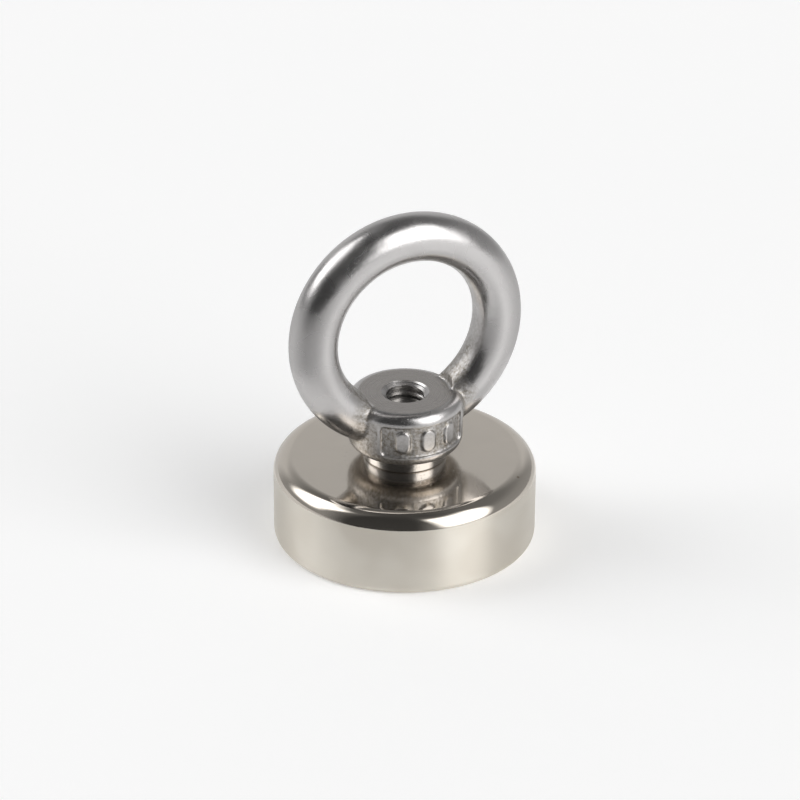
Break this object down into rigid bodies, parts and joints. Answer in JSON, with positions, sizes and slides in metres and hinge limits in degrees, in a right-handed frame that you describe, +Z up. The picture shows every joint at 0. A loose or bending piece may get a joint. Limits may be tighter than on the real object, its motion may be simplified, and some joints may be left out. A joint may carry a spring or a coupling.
{
  "type": "pot magnet with eye nut",
  "caption": "Round steel pot magnet with a ring magnet sealed in its cup and a cast ring-shaped eye nut screwed on top, for holding or pulling with a rope or hook.",
  "frame": {"origin": "centre of the cup's open rim face, the face that grips the steel and that the part stands on", "axes": "+Z up along the screw's axis, through the eye; the eye's ring lies in the XZ plane, so a rope passes through it along Y"},
  "size_m": [0.035, 0.035, 0.0465],
  "materials": {
    "nickel_plate": "nickel plate on turned steel, mirror bright on top and semi-bright round the side",
    "magnet_nickel": "nickel plate on a pressed magnet, softly bright",
    "seal_resin": "cast black epoxy, satin",
    "screw_steel": "plain stainless steel, turned and rolled",
    "cast_stainless": "cast stainless steel, tumbled bright on the ring, rough as cast in the hollows and turned on the boss's top"
  },
  "bodies": {
    "root": {"cup": "nickel_plate", "magnet_ring": "magnet_nickel", "resin_seal": "seal_resin", "screw": "screw_steel", "eye_nut": "cast_stainless"}
  },
  "joints": []
}
